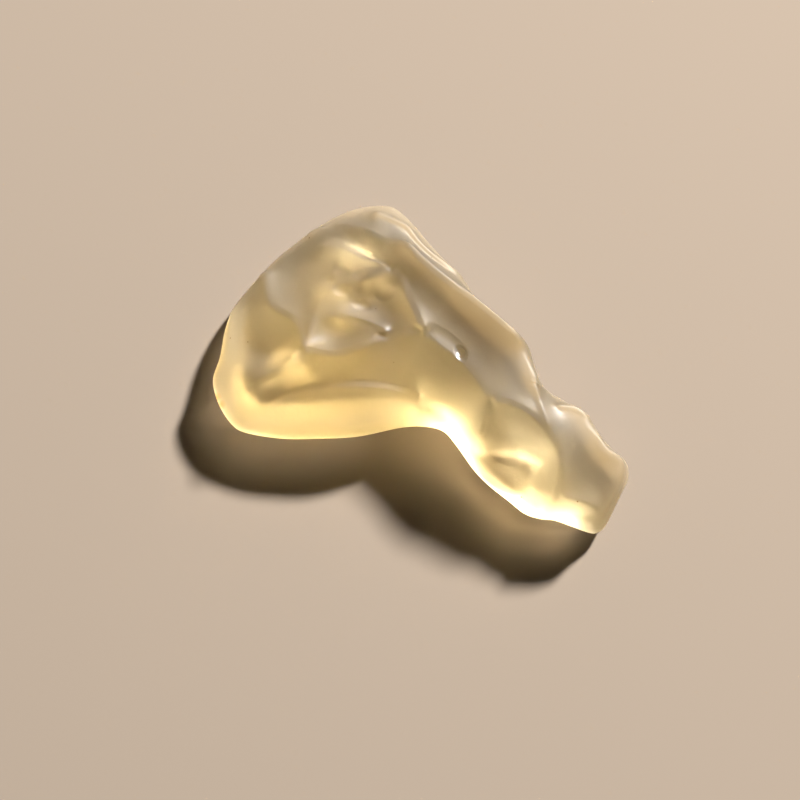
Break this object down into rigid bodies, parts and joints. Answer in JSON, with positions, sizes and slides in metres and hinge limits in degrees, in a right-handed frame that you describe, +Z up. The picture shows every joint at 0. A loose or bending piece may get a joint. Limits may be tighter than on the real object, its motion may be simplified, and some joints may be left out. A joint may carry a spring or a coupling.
{
  "type": "libyan desert glass",
  "caption": "Wind-worn piece of pale yellow desert glass, a scooped broad end with sharp crests that narrows to a blunt tip, frosted all over.",
  "frame": {"origin": "centre of the bounding box in plan, on the plane of the worn flat that the stone rests on", "axes": "+X along the stone's length, from the broad end to the narrow tip; +Y to the side of the back ridge, away from the concave long edge; +Z up as it rests"},
  "size_m": [0.0414, 0.0267, 0.0078],
  "materials": {
    "desert_glass": "wind-frosted satin, see-through in depth, glossy only in fresh pits"
  },
  "bodies": {
    "root": {"glass_stone": "desert_glass"}
  },
  "joints": []
}
